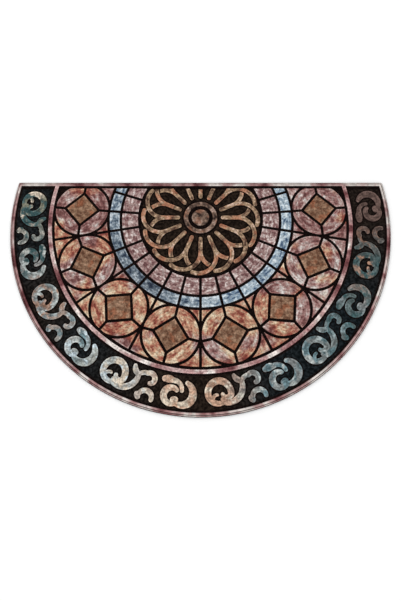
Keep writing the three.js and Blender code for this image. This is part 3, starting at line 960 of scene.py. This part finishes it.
def petal_print(name):
    """Two sets of tones drift into each other, more mauve and darker towards both ends."""
    finish = Finish(name)
    way = way_round(finish)
    lean = finish.levels(way, PETAL_LEAN)
    warm, mauve = (finish.mottled(tones=row, lean=lean, **PETAL_PATTERN) for row in (WARM_TONES, MAUVE_TONES))
    drift = finish.leaning(finish.noise(DRIFT_SIZE, seed=4), finish.levels(way, MAUVE_LEAN))
    colour = finish.mix(finish.between(drift, *DRIFT_STEP), warm, mauve)
    shaded = finish.shaded(colour, PETAL_MOTTLE, *PETAL_SHADE, seed=7, place=finish.lie)
    return pressed_print(finish, shaded)


square_finish = tan_print("square_print", SQUARE_TONES, size=5 * MM, tint=SQUARE_TINT)
squares = make_piece("squares", Pieces(square_patches()), square_finish)
petals = make_piece("petals", Pieces(petal_patches()), petal_print("petal_print"))
corners = make_piece("cell_corners", Pieces(corner_patches()), petal_print("corner_print"))

# %% [markdown]
# ## The plain ring
# A narrow ring parts the cells from the border. At both ends its patch goes on until it sinks into the rim.

# %% Plain ring
RING_COLUMNS = 640
RING_ROWS = 13
SUNK_IN_RIM = 0.9 * MM


def plain_ring_patch():
    reach = BEHIND - RIM_WIDTH + SUNK_IN_RIM
    shares = np.linspace(0, 1, RING_COLUMNS)
    sides = []
    for radius in PLAIN_RING:
        past = angle_behind(reach, radius)
        sides.append(ring_point(radius, -past + (180 + 2 * past) * shares))
    return *sides, RING_ROWS


ring_finish = Finish("plain_ring_print")
pressed_print(ring_finish, rose_print(ring_finish))
plain_ring = make_piece("plain_ring", Pieces([plain_ring_patch()]), ring_finish.material)

# %% [markdown]
# ## The scroll border
# The border repeats one run of scrolls six times. Each stroke is a piece of a spiral about a point of the
# border's plan, in millimetres along the border and out from its middle. The plan is then bent round the
# mat: along turns into an angle and out into a radius. The repeat is charted stroke by stroke.

# %% Scroll border
STROKE_COLUMNS = ("name", "along", "out", "from", "to", "start", "finish", "widths")
SCROLL_PLAN = [
    ("open scroll", -5, 1, 243, 64, 25, 25, (10, 18, 10)),
    ("inner curl", 16, 7, 124, -130, 19, 15, (9, 15, 10)),
    ("inner bud", 9, 25, -100, -72, 9, 9, (14, 14, 13)),
    ("over-leaf", 13, -5, 178, 275, 18, 19, (9, 10, 12)),
    ("leaf tip", 26, 20, 258, 284, 45, 46, (12, 17, 13)),
    ("small hook", 70, -14, 105, 310, 8, 15, (10, 12, 11)),
    ("hook link", 80, -2, 268, 318, 24, 24, (10, 10, 10)),
    ("side leaf", 94, -37, 80, 15, 20, 20, (9, 13, 9)),
    ("long limb", 133, -13, 190, 72, 35, 36, (10, 14, 10)),
    ("volute", 153, 0, 118, -190, 22, 27, (10, 15, 14)),
    ("volute end", 135, 2, 165, 10, 9, 10, (14, 12, 9)),
    ("cusp", 143, 23, -95, -70, 9, 9, (11, 11, 10)),
    ("volute leaf", 155, 13, 10, -80, 13, 9, (9, 8, 7)),
    ("arch", 70, 24, 170, 350, 14, 14, (10, 12, 10)),
    ("arch bud", 70, 24, -4, 14, 17, 15, (13, 14, 12)),
]
BORDER_STROKES = [dict(zip(STROKE_COLUMNS, row)) for row in SCROLL_PLAN]
STROKE_STEP = 9
STROKE_ROWS = 13
STROKE_LIFT = 0.012 * MM


def border_stroke(stroke, middle):
    """The turn and the radius change evenly. The width is a straight run from first to last, plus half a
    sine wave that brings its middle to the middle value."""
    count = max(3, round(abs(stroke["to"] - stroke["from"]) / STROKE_STEP))
    share = np.linspace(0, 1, count + 1)
    turn = np.radians(stroke["from"] + (stroke["to"] - stroke["from"]) * share)
    radius = stroke["start"] + (stroke["finish"] - stroke["start"]) * share
    along = (stroke["along"] + radius * np.cos(turn)) * MM
    out = (stroke["out"] + radius * np.sin(turn)) * MM
    path = ring_point(BORDER_MIDDLE + out, middle + np.degrees(along / BORDER_MIDDLE))
    first, mid, last = stroke["widths"]
    widths = first + (last - first) * share + (mid - (first + last) / 2) * np.sin(np.pi * share)
    return stroke_edges(path, widths * MM)


def border_patches():
    for repeat in range(BORDER_REPEATS):
        for order, stroke in enumerate(BORDER_STROKES):
            edges = border_stroke(stroke, BORDER_START + repeat * BORDER_REPEAT)
            yield from field_patches(*edges, STROKE_ROWS, -order * STROKE_LIFT)


DYES = {
    "cocoa": (94, 76, 70),
    "clay": (148, 114, 95),
    "tan": (178, 144, 122),
    "cream": (198, 184, 166),
    "moss": (112, 112, 98),
    "petrol": (58, 82, 84),
    "slate": (86, 99, 99),
    "pewter": (124, 128, 128),
    "steel": (98, 121, 127),
    "mist": (164, 170, 168),
    "sky": (182, 196, 202),
}
# Each row is an angle and the three dyes there: the main one, the other one and the light one.
SCROLL_STRETCHES = [
    (2, "cocoa", "cocoa", "cocoa"),
    (16, "slate", "petrol", "clay"),
    (36, "slate", "petrol", "steel"),
    (54, "pewter", "steel", "mist"),
    (71, "pewter", "steel", "mist"),
    (84, "tan", "clay", "cream"),
    (100, "tan", "cream", "cream"),
    (116, "mist", "cream", "sky"),
    (132, "mist", "steel", "sky"),
    (149, "clay", "pewter", "mist"),
    (165, "pewter", "petrol", "mist"),
    (184, "moss", "petrol", "cream"),
]
SCROLL_PATCHES = {"size": 12 * MM, "detail": 3, "warp": 0.3, "seed": 1}
SCROLL_LIGHTS = {"size": 10 * MM, "detail": 3, "warp": 0.3, "seed": 5}
PATCH_STEP = (0.43, 0.57)
LIGHT_STEP = (0.5, 0.62)
SCROLL_MOTTLE = 3 * MM
SCROLL_SHADE = (0.66, 1.34)


def field_share(angle):
    """A pattern angle as way_round gives it: 90 is half the way, and its ends lie FIELD_TURN from there."""
    return (angle - 90 + FIELD_TURN) / (2 * FIELD_TURN)


def scroll_print():
    """Each of three dyes runs evenly from one stretch's to the next one's. Noise chooses among them."""
    finish = Finish("scroll_print")
    way = way_round(finish)
    main, other, light = (
        finish.ramp(way, [(field_share(angle), DYES[names[part]]) for angle, *names in SCROLL_STRETCHES])
        for part in range(3)
    )
    patches = finish.between(finish.noise(**SCROLL_PATCHES), *PATCH_STEP)
    lights = finish.between(finish.noise(**SCROLL_LIGHTS), *LIGHT_STEP)
    colour = finish.mix(lights, finish.mix(patches, main, other), light)
    shaded = finish.shaded(colour, SCROLL_MOTTLE, *SCROLL_SHADE, seed=7, place=finish.lie)
    # The scrolls take a stronger painted highlight along their edges.
    return pressed_print(finish, shaded, edge_highlight=1.25)


border = make_piece("scroll_border", Pieces(border_patches()), scroll_print())

# %% [markdown]
# ## The sheet and its pieces
# The mat is one sheet, pressed flat. Everything raised on it goes with it.

# %% [markdown]
# ## Floor, light and camera
# The photograph looks down on the mat from in front, in even light on white. So the floor is plain and
# pale, the light comes from all round and from two soft lamps, and the camera has the same angle.

# %% Floor
FLOOR_HALF = 6.0
FLOOR_COLOUR = (0.96, 0.96, 0.96, 1)
floor_mesh = bpy.data.meshes.new("studio_floor")
floor_corners = FLOOR_HALF * np.array([[-1, -1, 0], [1, -1, 0], [1, 1, 0], [-1, 1, 0]])
floor_mesh.from_pydata(floor_corners, [], [(0, 1, 2, 3)])
floor_finish = Finish("studio_white")
floor_mesh.materials.append(floor_finish.finish(FLOOR_COLOUR))
studio_floor = put_in_scene("studio_floor", floor_mesh)

# %% Light
SKY_STRENGTH = 0.85
world = bpy.data.worlds.new("studio")
world.use_nodes = True
sky_inputs = world.node_tree.nodes["Background"].inputs
sky_inputs["Color"].default_value = (1, 1, 1, 1)
sky_inputs["Strength"].default_value = SKY_STRENGTH
bpy.context.scene.world = world


def soft_lamp(name, place, size, power):
    """A square lamp, its size in metres, that faces the mat."""
    light = bpy.data.lights.new(name, "AREA")
    light.size, light.energy = size, power
    lamp = put_in_scene(name, light)
    lamp.location = place
    lean = math.acos(place[2] / math.dist(place, (0, 0, 0)))
    lamp.rotation_euler = (lean, 0, math.atan2(place[0], -place[1]))


soft_lamp("key_lamp", place=(-1.2, 0.8, 2.2), size=1.6, power=16)
soft_lamp("fill_lamp", place=(1.4, -0.6, 2.2), size=1.6, power=7)
bpy.context.scene.view_settings.view_transform = "Standard"

# %% Camera
PICTURE_HEIGHT = 601
FOCAL_PIXELS = 583
AXIS_ROW = 218.3
TILT = 19.9
REACH = 1.413
SENSOR = 36.0

camera_data = bpy.data.cameras.new("camera")
camera_data.sensor_width = SENSOR
camera_data.lens = FOCAL_PIXELS * SENSOR / PICTURE_HEIGHT
camera_data.shift_y = (AXIS_ROW - PICTURE_HEIGHT / 2) / PICTURE_HEIGHT
camera = put_in_scene("camera", camera_data)
tilt = math.radians(TILT)
camera.location = (0, CENTRE_Y - REACH * math.sin(tilt), REACH * math.cos(tilt))
camera.rotation_euler = (tilt, 0, 0)
bpy.context.scene.camera = camera
print(f"camera {90 - TILT:.1f} degrees above the floor, lens {camera_data.lens:.1f} mm")
